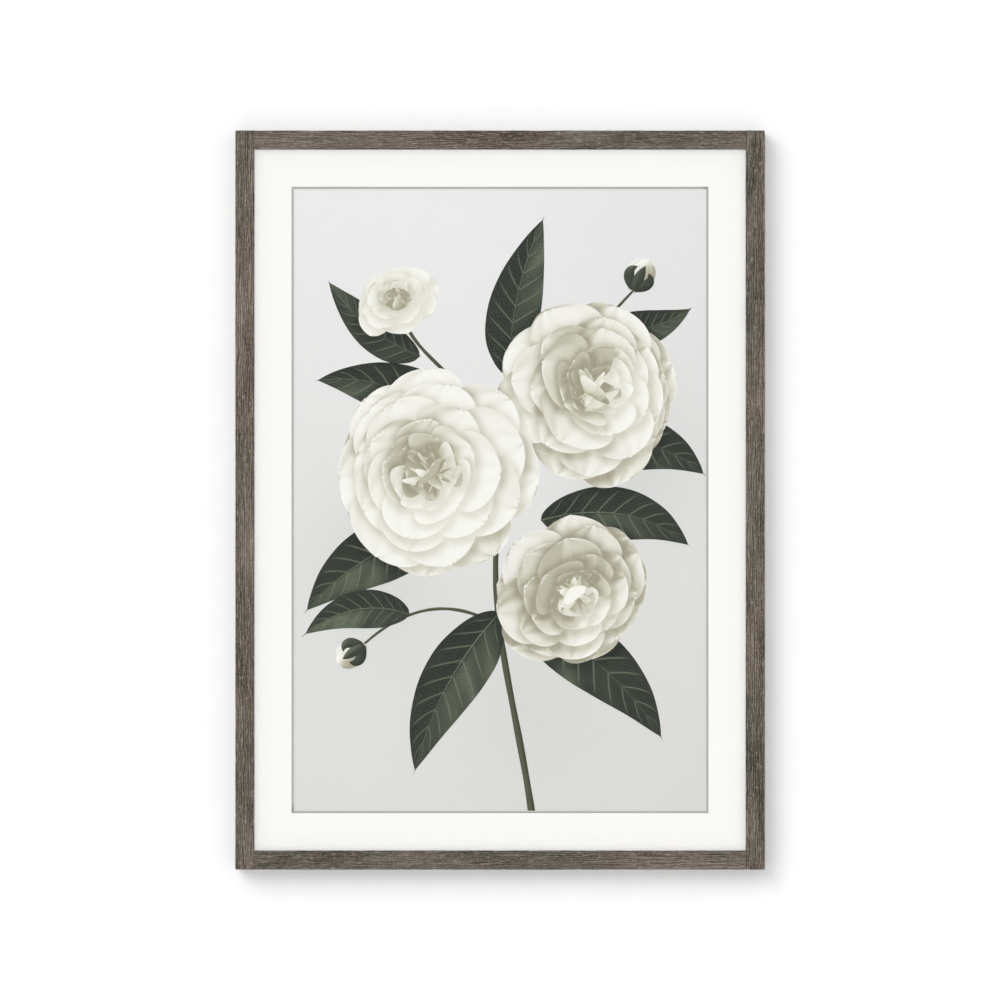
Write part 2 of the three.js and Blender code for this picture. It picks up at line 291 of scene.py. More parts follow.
world = bpy.data.worlds.new("sky")
bpy.context.scene.world = world
world.use_nodes = True
wire = Wire(world.node_tree)
seen = wire.node("ShaderNodeLightPath", output="Is Camera Ray")
lighting = wire.node("ShaderNodeBackground", {}, {"Color": (1, 1, 1, 1), "Strength": SKY})
backdrop = wire.node("ShaderNodeBackground", {}, {"Color": BACKDROP})
both = wire.node("ShaderNodeMixShader", {}, {0: seen, 1: lighting, 2: backdrop})
wire.feed("World Output", Surface=both)


# ---------------------------------------------------------------- frame boards
# Four flat boards of grey-stained oak, wire-brushed along the grain so that the soft bands are
# grooves. The stiles run the full height. The rails' lips are butted between theirs, and the wood
# behind laps over them and is dowelled to the walls of their rebates.
ROOT = "framed_print"
FACE = 18.5 * MM
DEPTH = 20.0 * MM
LIP = 3.8 * MM
REBATE = 6.5 * MM
ARRIS = 0.45 * MM
LAP_GAP = 0.05 * MM
DOWEL_HOLE = 2.65 * MM
DOWEL_END_GAP = 0.15 * MM
SCREW_HOLE = 1.45 * MM
NAIL_HOLE = 0.9 * MM
TIP_GAP = 0.6 * MM
OVERRUN = 2 * MM
GROOVE = 0.32 * MM
GROOVE_PITCH = 1.95 * MM
LINE_DRIFT = 24.0  # radians
LINES_WANDER = (200, 16)  # cells a metre across and along the grain
LINES_BREAK = (600, 110)
BRUSHED_TO = (0.6 * MM, 0.1 * MM)  # where the brushing starts to fade before the back, and ends
FACE_STEP = 0.55 * MM
SIGHT_STEP = 0.6 * MM
HIDDEN_STEP = 4 * MM
BACK_STEP = 1.3 * MM
OUTER_STEP = 0.75 * MM
LENGTH_STEP = 2.6 * MM
BACKWARDS = Vector((0, 1, 0))
ACROSS = Vector((1, 0, 0))
frame_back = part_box("stile_left")[1].y
frame_front = frame_back - DEPTH


def bar_profile():
    """The closed outline of a board: how far in from its outer edge and how far behind its face."""

    def run(start, end, step):
        count = max(1, round(abs(end - start) / step))
        return [start + (end - start) * i / count for i in range(count)]

    sight = LIP + 0.4 * MM
    front = [(u, 0.0) for u in run(ARRIS, FACE - ARRIS, FACE_STEP)]
    inner = [(FACE, v) for v in run(ARRIS, sight, SIGHT_STEP)]
    hidden = [(FACE, v) for v in run(sight, DEPTH - ARRIS, HIDDEN_STEP)]
    back = [(u, DEPTH) for u in run(FACE - ARRIS, ARRIS, BACK_STEP)]
    outer = [(0.0, v) for v in run(DEPTH - ARRIS, ARRIS, OUTER_STEP)]
    return front + inner + hidden + back + outer


def bar(name, start, end, inwards):
    """A board whose outer front edge runs from start to end. These and inwards are (x, z)."""
    start, end = (Vector((x, frame_front, z)) for x, z in (start, end))
    face_axis = Vector((inwards[0], 0, inwards[1]))
    outline = bar_profile()
    stations = round((end - start).length / LENGTH_STEP) + 1
    vertices = []
    for i in range(stations):
        station = start.lerp(end, i / (stations - 1))
        vertices += [station + face_axis * u + BACKWARDS * v for u, v in outline]
    count = len(outline)
    faces = []
    for near in range(0, len(vertices) - count, count):
        far = near + count
        for j in range(count):
            k = (j + 1) % count
            faces.append((near + j, near + k, far + k, far + j))
    faces.append(tuple(reversed(range(count))))
    faces.append(tuple(range((stations - 1) * count, stations * count)))
    made = new_object(name, vertices, faces)
    edit = bmesh.new()
    edit.from_mesh(made.data)
    bmesh.ops.recalc_face_normals(edit, faces=edit.faces)
    edit.to_mesh(made.data)
    edit.free()
    return made


def cutter_rod(edit, centre, axis, radius, length):
    turn = axis.to_track_quat("Z", "Y").to_matrix().to_4x4()
    place = Matrix.Translation(centre) @ turn
    bmesh.ops.create_cone(
        edit, cap_ends=True, segments=24, radius1=radius, radius2=radius, depth=length, matrix=place
    )


def cutter_box(edit, corner_a, corner_b):
    size = [abs(b - a) for a, b in zip(corner_a, corner_b)]
    centre = [(a + b) / 2 for a, b in zip(corner_a, corner_b)]
    place = Matrix.Translation(centre) @ Matrix.Diagonal((*size, 1))
    bmesh.ops.create_cube(edit, size=1, matrix=place)


def bake_modifiers(made):
    """Makes the shape after its modifiers a piece's mesh, and takes them off."""
    bpy.context.view_layer.update()
    shape = made.evaluated_get(bpy.context.evaluated_depsgraph_get())
    mesh = bpy.data.meshes.new_from_object(shape)
    made.modifiers.clear()
    made.data = mesh
    mesh.name = made.name


def cut(board, edit):
    """Takes the shapes in edit away from the board, and makes the result its mesh."""
    tool_mesh = bpy.data.meshes.new("cutter")
    edit.to_mesh(tool_mesh)
    edit.free()
    tool = bpy.data.objects.new("cutter", tool_mesh)
    bpy.context.scene.collection.objects.link(tool)
    modifier = board.modifiers.new("rebate_and_holes", "BOOLEAN")
    modifier.operation = "DIFFERENCE"
    modifier.solver = "MANIFOLD"
    modifier.object = tool
    bake_modifiers(board)
    bpy.data.objects.remove(tool)


def smooth(made, angle=35):
    """Shades a piece as round, but for its edges sharper than so many degrees."""
    made.data.polygons.foreach_set("use_smooth", [True] * len(made.data.polygons))
    made.data.set_sharp_from_angle(angle=math.radians(angle))


def along_grain(level, across, along):
    """Cells per metre across and along the grain, for a level or an upright board."""
    return (along, across, across) if level else (across, across, along)


def brushing_of(level):
    """The directions that the brushed lines of a level or an upright board follow."""
    turn = 2 * math.pi / GROOVE_PITCH
    return {
        "Across": along_grain(level, turn, 0),
        "Wander": along_grain(level, *LINES_WANDER),
        "Breaks": along_grain(level, *LINES_BREAK),
    }


def brushed_height(coordinates, across, wander, breaks):
    """0 in the brushed-out grooves and 1 on the hard ridges: lines that drift, fade and end."""
    drifting = coordinates.stretched(wander).noise(1.0, 1.0, 0.5, 1.7)
    fading = coordinates.stretched(breaks).noise(1.0, 0.0, 0.5, 6.3).between(0.25, 0.6)
    lines = (coordinates.dot(across) + drifting * LINE_DRIFT).sine()
    return (lines * fading).between(-0.7, 0.7)


def brushing_tree():
    """A tree that sinks the brushed-out grooves into a board's shown faces."""
    tree = bpy.data.node_groups.new("wire_brushing", "GeometryNodeTree")
    inputs = {
        "Board": "NodeSocketGeometry",
        "Across": "NodeSocketVector",
        "Wander": "NodeSocketVector",
        "Breaks": "NodeSocketVector",
        "Groove Depth": "NodeSocketFloat",
        "Smooth Behind": "NodeSocketFloat",
        "Wood": "NodeSocketMaterial",
    }
    for name, kind in inputs.items():
        tree.interface.new_socket(name, in_out="INPUT", socket_type=kind)
    tree.interface.new_socket("Board", in_out="OUTPUT", socket_type="NodeSocketGeometry")
    given = tree.nodes.new("NodeGroupInput")
    board, across, wander, breaks, depth, behind, wood = (
        Wire(tree, given.outputs[name]) for name in inputs
    )
    place = board.node("GeometryNodeInputPosition")
    ridge = brushed_height(place, across, wander, breaks)
    set_back = place.parts("ShaderNodeSeparateXYZ")[1]
    brushed = 1 - set_back.between(behind - BRUSHED_TO[0], behind - BRUSHED_TO[1])
    outwards = (ridge - 1) * depth * brushed
    offset = board.node("GeometryNodeInputNormal").scaled(outwards)
    moved = board.node("GeometryNodeSetPosition", {}, {"Geometry": board, "Offset": offset})
    real = board.node("GeometryNodeRealizeInstances", {}, {0: moved})
    named = board.node("GeometryNodeSetMaterial", {}, {"Geometry": real, "Material": wood})
    board.node("NodeGroupOutput", {}, {0: named})
    return tree


def use_tree(made, tree, values):
    """Runs a Geometry Nodes tree on a piece, with these values in the inputs of their names."""
    modifier = made.modifiers.new(tree.name, "NODES")
    modifier.node_group = tree
    for item in tree.interface.items_tree:
        if item.in_out == "INPUT" and item.name in values:
            modifier[item.identifier] = values[item.name]
    bake_modifiers(made)


OAK_GRAIN = {  # cells a metre across and along the grain, octaves of detail, and a seed
    "fibre": (1000, 60, 0.0, 4.2),
    "dash": (1000, 480, 0.0, 3.1),
    "band": (62, 14, 2.0, 7.7),
    "drift": (30, 6, 1.0, 2.6),
    "pores": (900, 90, 0.0, 8.8),
    "flecks": (1000, 150, 0.0, 9.1),
}
STAIN_CREPT = (5.0 * MM, 5.6 * MM)  # how far the stain crept on to the raw back, and faded out
STAIN_RAGGED = 3.0 * MM
RAW_BACK = (0.5 * MM, 0.3 * MM)  # how far before the back the raw wood starts, and is full


def oak(name, level):
    """Grey-stained oak: fine light and dark fibres over broader bands that drift in colour. The
    brushed-out grooves are darker, and the back is raw a few millimetres in from its edge."""
    material, wire = finish(name, Specular_IOR_Level=0.25)
    place = wire.place()
    ridge = brushed_height(place, *brushing_of(level).values())
    fibre, dash, band, drift, pores, flecks = (
        place.stretched(along_grain(level, across, along)).noise(1.0, detail, 0.5, seed)
        for across, along, detail, seed in OAK_GRAIN.values()
    )
    browner = (drift + (pores - 0.5) * 0.6).between(0.38, 0.62)
    ground = browner.mix(tint(88, 83, 73), tint(97, 87, 78))
    tone = 1.0 + (fibre - 0.5) * 1.3 + (dash - 0.5) * 1.6 + (band - 0.5) * 1.8
    streak = tone * (0.5 + 0.8 * ridge)
    paling = streak.between(0.3, 1.7).mix((1.03, 1.0, 0.915, 1), (0.995, 1.0, 1.085, 1))
    grooved = ground.stretched(paling).scaled(streak)
    pored = (pores.between(0.62, 0.75) * 0.5).mix(grooved, tint(60, 53, 44))
    limed = (flecks.between(0.6, 0.75) * 0.45).mix(pored, tint(156, 147, 137))
    px, depth, pz = place.parts("ShaderNodeSeparateXYZ")
    from_side = (high.x - low.x) / 2 - abs(px)
    from_end = (high.z - low.z) / 2 - abs(pz - middle.z)
    ragged = place.noise(70.0, 3.0, 0.6, 5.5) * STAIN_RAGGED
    bare = (from_side.least(from_end) + ragged).between(*STAIN_CREPT)
    bare = bare * depth.between(frame_back - RAW_BACK[0], frame_back - RAW_BACK[1])
    raw = fibre.between(0.25, 0.75).mix(tint(150, 124, 95), tint(180, 155, 122))
    wire.feed(Base_Color=bare.mix(limed, raw))
    wire.feed(Roughness=0.62 + fibre * 0.25)
    wire.feed(Normal=wire.bump(fibre + ridge * 0.6, 0.12 * MM, 0.6))
    return material


upright_oak = oak("oak_upright", False)
level_oak = oak("oak_level", True)
brushing = brushing_tree()
wall_of_wood = FACE - REBATE
dowel_boxes = [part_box(f"dowel_top_left_{place}") for place in ("front", "back")]
dowel_ys = [(a.y + b.y) / 2 for a, b in dowel_boxes]
boards = []


def pilot(edit, name, radius):
    """The hole that a screw or nail sits in, from its tip out past the frame's back."""
    a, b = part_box(name)
    tip, out = a.y - TIP_GAP, frame_back + OVERRUN
    centre = ((a.x + b.x) / 2, (tip + out) / 2, (a.z + b.z) / 2)
    cutter_rod(edit, centre, BACKWARDS, radius, out - tip)


def dowel_holes(edit, start, end, z):
    """The two holes, one behind the other, for the dowels at a corner."""
    for y in dowel_ys:
        cutter_rod(edit, ((start + end) / 2, y, z), ACROSS, DOWEL_HOLE, abs(end - start))


def fit_board(board, node, level, wood, edit):
    """Brushes a board, cuts its rebate and holes, and puts it in its plain board's place."""
    depths = {"Groove Depth": GROOVE, "Smooth Behind": frame_back}
    use_tree(board, brushing, {**brushing_of(level), **depths, "Wood": wood})
    cut(board, edit)
    smooth(board)
    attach(board, ROOT)
    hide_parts(node)
    boards.append(board)


for side, sign in (("left", 1), ("right", -1)):
    a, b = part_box(f"stile_{side}")
    outer = a.x if side == "left" else b.x
    stile = bar(f"oak_stile_{side}", (outer, a.z), (outer, b.z), (sign, 0))
    edit = bmesh.new()
    rebate_wall = outer + sign * wall_of_wood
    cutter_box(
        edit,
        (rebate_wall, frame_front + LIP, a.z - OVERRUN),
        (outer + sign * (FACE + OVERRUN), frame_back + OVERRUN, b.z + OVERRUN),
    )
    for level, z in (("top", b.z - wall_of_wood / 2), ("bottom", a.z + wall_of_wood / 2)):
        dowel_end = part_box(f"dowel_{level}_{side}_front")[0 if side == "left" else 1].x
        hole_start = dowel_end - sign * DOWEL_END_GAP
        dowel_holes(edit, hole_start, rebate_wall + sign * OVERRUN / 2, z)
    pilot(edit, f"screw_{side}_upper", SCREW_HOLE)
    pilot(edit, f"screw_{side}_lower", SCREW_HOLE)
    fit_board(stile, f"stile_{side}", False, upright_oak, edit)

for level, sign in (("top", -1), ("bottom", 1)):
    a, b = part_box(f"rail_{level}")
    outer = b.z if level == "top" else a.z
    rail = bar(f"oak_rail_{level}", (a.x, outer), (b.x, outer), (0, sign))
    edit = bmesh.new()
    cutter_box(
        edit,
        (a.x - OVERRUN, frame_front + LIP, outer + sign * wall_of_wood),
        (b.x + OVERRUN, frame_back + OVERRUN, outer + sign * (FACE + OVERRUN)),
    )
    for side, end, way in (("left", a.x, 1), ("right", b.x, -1)):
        cutter_box(
            edit,
            (end - way * OVERRUN, frame_front - OVERRUN, a.z - OVERRUN),
            (end + way * REBATE, frame_front + LIP + LAP_GAP, b.z + OVERRUN),
        )
        dowel_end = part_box(f"dowel_{level}_{side}_front")[1 if side == "left" else 0].x
        hole_end = dowel_end + way * DOWEL_END_GAP
        dowel_holes(edit, end - way * OVERRUN / 2, hole_end, outer + sign * wall_of_wood / 2)
        pilot(edit, f"screw_{level}_{side}", SCREW_HOLE)
        if level == "top":
            pilot(edit, f"nail_{side}", NAIL_HOLE)
    fit_board(rail, f"rail_{level}", True, level_oak, edit)

key_on_frame.light_linking.blocker_collection = lamp_list("past_boards", boards, "EXCLUDE")


# ---------------------------------------------------------------- dowels
# Turned beech pins, two behind each other at every corner, glued half into the stile and half into
# the rail. They are wholly inside, and show only when a corner is knocked apart.
beech, wire = finish("beech", 0.7)
place = wire.place()
fibres = place.stretched((60, 900, 900)).noise(1.0, 3.0, 0.6, 3.0)
wire.feed(Base_Color=fibres.mix(tint(188, 152, 108), tint(212, 182, 138)))
wire.feed(Normal=wire.bump(fibres, 0.05 * MM))


def clothe(node, material):
    """Gives a CAD node its finish."""
    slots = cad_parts[node].data.materials
    slots.clear()
    slots.append(material)


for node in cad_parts:
    if node.startswith("dowel_"):
        clothe(node, beech)


# ---------------------------------------------------------------- glass
# A pane of clear 2 mm picture glass that lies against the back of the lip, coated so that it
# mirrors a fifth of what plain glass does. It takes nothing from the picture's colours, and only
# its smooth faces show, by what they mirror.
GLASS_IOR = 1.45
COATED_SHARE = 0.2

glass = bpy.data.materials.new("picture_glass")
glass.use_nodes = True
tree = glass.node_tree
tree.nodes.remove(tree.nodes["Principled BSDF"])
wire = Wire(tree)
leaving = wire.node("ShaderNodeNewGeometry", output="Backfacing")
ior = GLASS_IOR + leaving * (1 / GLASS_IOR - GLASS_IOR)
mirrored = wire.node("ShaderNodeFresnel", {}, {"IOR": ior}) * COATED_SHARE
smears = wire.place().noise(14.0, 4.0, 0.6, 6.0)
white = (1, 1, 1, 1)
roughness = 0.008 + smears * 0.012
shine = wire.node("ShaderNodeBsdfGlossy", {}, {"Color": white, "Roughness": roughness})
clear = wire.node("ShaderNodeBsdfTransparent", {}, {"Color": white})
pane = wire.node("ShaderNodeMixShader", {}, {0: mirrored, 1: clear, 2: shine})
wire.feed("Material Output", Surface=pane)
clothe("glass", glass)


# ---------------------------------------------------------------- mat board
# Thick board with a smooth off-white face, cut through at 45 degrees round the window, where its
# greyer core shows as a thin line, with painted shade towards the face and at the right and foot.
WINDOW_WIDTH = 406.0 * MM
WINDOW_HEIGHT = 610.0 * MM
MAT_FACE = ((0.754, 0.747, 0.723, 1), (0.772, 0.765, 0.741, 1))
MAT_PLY = 0.15 * MM
PAINTED_SHADE_FROM = (0.965, 0.985)  # shares of the way from the window's middle to its edge
PAINTED_SHADE_DARKER = 0.3

mat, wire = finish("mat_paper", 0.95, Specular_IOR_Level=0.1)
place = wire.place()
mat_low, mat_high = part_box("mat_board")
px, depth, pz = place.parts("ShaderNodeSeparateXYZ")
in_core = depth.between(mat_low.y + MAT_PLY / 3, mat_low.y + MAT_PLY)
tooth = place.noise(2600.0, 3.0, 0.6, 1.0)
face = tooth.mix(*MAT_FACE)
# Painted shade: the core is darker towards the mat's face and paler towards its back.
pale = depth.between(mat_low.y + 0.2 * MM, mat_high.y)
core = (pale + tooth * 0.1).mix(tint(169, 167, 162), tint(208, 207, 203))
# Painted shade: the core is darker still at the window's right side and foot.
below = ((mat_low.z + mat_high.z) / 2 - pz) * (2 / WINDOW_HEIGHT)
painted_shade_at_right_and_foot = (px * (2 / WINDOW_WIDTH)).most(below).between(*PAINTED_SHADE_FROM)
core = core.scaled(1 - painted_shade_at_right_and_foot * PAINTED_SHADE_DARKER)
wire.feed(Base_Color=in_core.mix(face, core))
wire.feed(Normal=wire.bump(tooth, 0.02 * MM, 0.4))
clothe("mat_board", mat)


# ---------------------------------------------------------------- print
# Heavy matte paper, printed with a loose spray of white double blossom and dark leaves over a pale
# grey ground. The ink is laid out as one flat map, so that every outline is an edge of the mesh.
INK_SEED = 23
PAPER_WHITE = 0.80
INK_LIGHT = np.array([-0.46, 0.58, 0.67])
INK_LIGHT /= np.linalg.norm(INK_LIGHT)
BLOSSOMS = (  # x, z, radius, tilt, which way it leans, rings left out: millimetres and degrees
    (-96, 188, 50, 44, 118, 1),
    (84, 104, 98, 26, 38, 0),
    (68, -86, 84, 28, -52, 0),
    (-62, 24, 106, 18, 168, 0),
)
RINGS = (  # petals, their length and half width, and their pitch at the base and at the tip
    (8, 1.00, 0.42, 18, -26),
    (7, 0.94, 0.42, 28, -12),
    (7, 0.84, 0.39, 38, 4),
    (6, 0.72, 0.36, 48, 24),
    (6, 0.60, 0.31, 58, 48),
    (5, 0.48, 0.26, 66, 74),
    (5, 0.37, 0.21, 74, 100),
    (4, 0.27, 0.16, 82, 122),
)
PETAL_TONES = (  # how light the place is, and its ink
    (0.0, srgb(148, 143, 122)),
    (0.3, srgb(199, 196, 179)),
    (0.55, srgb(226, 224, 213)),
    (0.8, srgb(239, 238, 231)),
    (1.0, srgb(247, 247, 242)),
)
LEAF_TONES = (
    (0.0, srgb(34, 40, 34)),
    (0.35, srgb(48, 54, 46)),
    (0.7, srgb(76, 84, 70)),
    (1.0, srgb(120, 128, 106)),
)
STEMS = (  # its points from the foot up, as x, z and height off the paper, and its two widths
    ([(34, -330, 0), (20, -200, 0), (-26, -90, 0), (8, 20, 0)], 7.0, 5.0),
    ([(-6, -120, 0), (-70, -84, 0), (-132, -140, 0)], 3.4, 2.4),
    ([(0, 20, 0), (0, 110, 0), (-84, 130, 0), (-94, 180, 0)], 4.4, 3.0),
    ([(10, 60, 0), (96, 170, 0), (130, 204, 0)], 3.6, 2.4),
)
LEAVES = (  # its points, its width, its roll at the base and the tip, its fold and its lightness
    ([(-30, 60, -20), (-100, 128, 10), (-182, 116, -6)], 56, (18, -22), 0.40, 0.10),
    ([(10, 120, -20), (8, 200, 12), (44, 278, -8)], 52, (-20, 18), 0.40, 0.20),
    ([(60, 50, -20), (146, 74, 8), (202, 22, -14)], 56, (22, -20), 0.45, 0.00),
    ([(-60, -30, -20), (-136, -46, 16), (-192, -112, -10)], 60, (-24, 22), 0.40, 0.05),
    ([(40, -20, -20), (128, 4, 14), (186, -46, -12)], 54, (24, -26), 0.40, 0.15),
    ([(20, -110, -20), (112, -156, 14), (160, -236, -12)], 62, (20, -24), 0.42, 0.00),
    ([(0, -110, -10), (-62, -176, 16), (-84, -268, -14)], 60, (-22, 20), 0.42, 0.10),
    ([(-88, -112, 0), (-142, -92, 10), (-194, -134, -8)], 38, (-16, 18), 0.40, 0.30),
    ([(100, 172, 0), (144, 156, 12), (188, 188, -8)], 36, (18, -16), 0.40, 0.30),
    ([(-78, 140, 0), (-132, 160, 10), (-168, 214, -8)], 38, (-20, 16), 0.40, 0.25),
)
BUDS = ((130, 206, 16, 62), (-134, -142, 15, 214))  # x, z, radius and which way it points
HAZES = ((-120, -60, 70, 0.10), (128, 40, 62, 0.10), (30, -190, 80, 0.07))  # x, z, size, depth
PETAL_WIDEST = 0.62  # the share of a petal's length at which it is widest
ROW_SPACING = 3.4  # along a petal or leaf
OUTLINE_GAP = 0.25
RIM_CLEAR = 0.5
FIT_NODES = 7
FIT_REACH = 2.6
SHADE_REACH = {"petal": 13.0, "leaf": 9.0, "stem": 4.0}
SHADE_DEPTH = {"petal": 0.5, "leaf": 0.4, "stem": 0.4}
SHADE_SHIFT = (1.7, -2.3)
GROUND_SPACING = 7.0

random = np.random.default_rng(INK_SEED)
paper_low, paper_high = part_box("print")
paper_half = np.array([paper_high.x - paper_low.x, paper_high.z - paper_low.z]) / 2 / MM
patches = []


def unit(vectors):
    return vectors / np.maximum(np.linalg.norm(vectors, axis=-1, keepdims=True), 1e-9)


def smoothstep(low_end, high_end, value):
    t = np.clip((value - low_end) / (high_end - low_end), 0, 1)
    return t * t * (3 - 2 * t)


def add_patch(kind, spine, side, normal, half, lift, notch=0.0, frill=0.0, step=3.2, tone=0.0):
    """A leaf or petal in space: a spine with a half width, raised off its plane by lift(s, q, w).
    s runs from 0 at the base to 1 at the tip and q from -1 to 1 across."""
    rows, columns = len(spine), max(5, 2 * round(half.max() / step) + 1)
    s = np.linspace(0, 1, rows)[:, None] * np.ones(columns)
    q = np.ones((rows, 1)) * np.linspace(-1, 1, columns)
    phase = random.uniform(0, 2 * math.pi, 3)
    waves = (1.6 + np.sin(q * 3.1 + phase[0]) + 0.6 * np.sin(q * 6.3 + phase[1])) / 3.2
    reach = 1 - s**4 * (notch * np.exp(-((q / 0.3) ** 2)) + frill * waves)
    knots = np.linspace(0, 1, rows)

    def at(values):
        return np.stack([np.interp(s * reach, knots, values[:, i]) for i in range(3)], -1)

    sway = frill * 0.5 * s * np.sin(6 * s + np.where(q > 0, phase[1], phase[2]))
    width = half[:, None] * (1 + sway)
    raised = lift(s, q, width)[..., None]
    grid = at(spine) + at(side) * (q * width)[..., None] + at(normal) * raised
    facing = unit(np.cross(np.gradient(grid, axis=0), np.gradient(grid, axis=1)))
    facing *= np.where(facing[..., 2:] < 0, -1, 1)
    flat = grid[..., :2]
    edge = np.vstack([flat[:, 0], flat[-1, 1:-1], flat[::-1, -1], flat[0, -2:0:-1]])
    apart = np.linalg.norm(edge - np.roll(edge, 1, 0), axis=1) > OUTLINE_GAP
    patches.append(
        {
            "kind": kind,
            "tone": tone,
            "edge": edge[apart],
            "nodes": flat.reshape(-1, 2),
            "looks": np.hstack([s.reshape(-1, 1), q.reshape(-1, 1), facing.reshape(-1, 3)]),
        }
    )


def petal_half(s, width, widest=PETAL_WIDEST, base=0.3):
    """Half width of a petal at s: a narrow claw that swells to a round tip."""
    tip = np.sqrt(np.clip(1 - ((s - widest) / (1 - widest)) ** 2, 0.0004, 1))
    root = base + (1 - base) * np.sin(np.clip(s / widest, 0, 1) * math.pi / 2) ** 1.1
    return width * np.where(s > widest, tip, root)


def petal(centre, turn, heading, length, width, pitches, cup, frill, tone):
    """One petal of a blossom, whose pitch above the blossom's plane runs from base to tip."""
    rows = max(7, round(length / ROW_SPACING))
    fine = np.linspace(0, 1, 40)
    pitch = np.radians(np.interp(fine, [0, 1], pitches))
    run = np.cumsum([np.cos(pitch), np.sin(pitch)], axis=1)[:, :-1] / len(fine) * length
    out, up = np.hstack([[[0], [0]], run])
    u = np.linspace(0, 1, rows)
    beyond = (u - PETAL_WIDEST) / (1 - PETAL_WIDEST)
    closer = PETAL_WIDEST + (1 - PETAL_WIDEST) * np.sin(beyond * math.pi / 2)
    s = np.where(u < PETAL_WIDEST, u, closer)
    angle = np.interp(s, fine, pitch)[:, None]
    radial = np.array([math.cos(heading), math.sin(heading), 0])
    around = np.array([-math.sin(heading), math.cos(heading), 0])
    axis = np.array([0, 0, 1.0])
    spine = np.interp(s, fine, out)[:, None] * radial + np.interp(s, fine, up)[:, None] * axis
    normal = np.cos(angle) * axis - np.sin(angle) * radial
    flutes = random.uniform(0, 2 * math.pi)

    def lift(s, q, w):
        ripple = 0.175 * length * frill * s**2 * np.sin(4.2 * q + flutes)
        return cup * w * q**2 + ripple + 0.008 * length * s * np.sin(11 * q + 2 * flutes)

    side = np.tile(around, (rows, 1))
    spine, side, normal = centre + spine @ turn.T, side @ turn.T, normal @ turn.T
    notch = random.uniform(0.0, 0.09)
    add_patch("petal", spine, side, normal, petal_half(s, width), lift, notch, frill, tone=tone)


def blossom(x, z, radius, tilt, towards, left_out):
    """A double blossom, built ring by ring from the outside in, far petals first."""
    lean = math.radians(towards)
    hinge = Vector((-math.sin(lean), math.cos(lean), 0))
    turn = np.array(Matrix.Rotation(math.radians(tilt), 3, hinge))
    start = random.uniform(0, 360)
    for ring, (count, length, width, low_pitch, high_pitch) in enumerate(RINGS):
        start += 180 / count + random.uniform(-9, 9)
        if ring < left_out:
            continue
        jitter = random.uniform(-0.16, 0.16, count)
        headings = np.radians(start + 360 / count * (np.arange(count) + jitter))
        nearness = turn[2, 0] * np.cos(headings) + turn[2, 1] * np.sin(headings)
        for heading in headings[np.argsort(nearness)]:
            petal(
                np.array([x, z, 0]),
                turn,
                heading,
                radius * length * random.uniform(0.93, 1.05),
                radius * width * random.uniform(0.9, 1.1),
                (low_pitch + random.uniform(-6, 6), high_pitch + random.uniform(-12, 12)),
                random.uniform(0.16, 0.32),
                random.uniform(0.025, 0.07),
                ring / (len(RINGS) - 1),
            )


def curve_through(controls, rows):
    """A Bezier curve of any degree."""
    t = np.linspace(0, 1, rows)[:, None, None]
    curve = np.repeat(np.array(controls, float)[None], rows, 0)
    while curve.shape[1] > 1:
        curve = curve[:, :-1] * (1 - t) + curve[:, 1:] * t
    return curve[:, 0]


def ribbon(controls, spacing, roll=(0, 0)):
    """The spine of a leaf or stem, with its side and face directions rolled about it."""
    length = np.linalg.norm(np.diff(np.array(controls, float), axis=0), axis=1).sum()
    spine = curve_through(controls, max(10, round(length / spacing)))
    forward = unit(np.gradient(spine, axis=0))
    side = unit(np.cross([0, 0, 1.0], forward))
    normal = unit(np.cross(forward, side))
    s = np.linspace(0, 1, len(spine))
    angle = np.radians(np.interp(s, [0, 1], roll))[:, None]
    rolled = side * np.cos(angle) + normal * np.sin(angle)
    return s, spine, rolled, normal * np.cos(angle) - side * np.sin(angle)


def leaf(controls, width, roll, fold, tone):
    """A pointed leaf, folded a little along its midrib, and the midrib on it."""
    s, spine, side, normal = ribbon(controls, ROW_SPACING, roll)
    half = width / 2 * np.sin(np.clip(s * 1.02, 0, 1) ** 0.72 * math.pi) ** 0.85

    def blade_lift(s, q, w):
        return w * np.abs(q) * (fold + 0.05 * np.sin(24 * s - 4 * np.abs(q)))

    def rib_lift(s, q, w):
        return w * (1 - q**2)

    half = np.maximum(half, 0.35)
    add_patch("leaf", spine, side, normal, half, blade_lift, frill=0.03, tone=tone)
    rib = np.interp(s, [0, 0.9, 1], [1.0, 0.45, 0.3])
    spine, side, normal, rib = spine[:-2], side[:-2], normal[:-2], rib[:-2]
    add_patch("rib", spine, side, normal, rib, rib_lift, step=1, tone=tone)


def stem(controls, thick, thin):
    """A round stem that thins towards its tip."""
    s, spine, side, normal = ribbon(controls, 4)
    half = np.interp(s, [0, 1], [thick / 2, thin / 2]) * (1 + 0.06 * np.sin(31 * s))

    def lift(s, q, w):
        return w * np.sqrt(np.clip(1 - q**2, 0.02, 1))

    add_patch("stem", spine, side, normal, half, lift, step=1)


def bud(x, z, radius, heading):
    """A closed bud: three petals wrapped over each other in a cup of green sepals."""
    along = np.array([math.cos(math.radians(heading)), math.sin(math.radians(heading)), 0.1])
    across = np.array([-along[1], along[0], 0])
    base = np.array([x, z, 0])
    wraps = [("petal", *row) for row in ((-0.30, 0.92), (0.34, 0.95), (0.02, 1.0))]
    sepals = [("leaf", *row) for row in ((-0.75, 0.62), (0.75, 0.66), (0.0, 0.78))]

    def lift(s, q, w):
        return -0.5 * w * q**2

    for kind, offset, reach in wraps + sepals:
        bulge = base + across * offset * radius * 1.5 + along * radius * 0.8
        tip = base + across * offset * 0.5 * radius + along * radius * 2 * reach
        s, spine, side, normal = ribbon([base - along * 2, bulge, tip], 1.6)
        if kind == "petal":
            half = petal_half(s, radius * 0.62, 0.5, 0.35)
        else:
            half = np.maximum(radius * 0.32 * np.sin(s**0.8 * math.pi) ** 0.8, 0.3)
        add_patch(kind, spine, side, normal, half, lift, frill=0.02, tone=0.3)


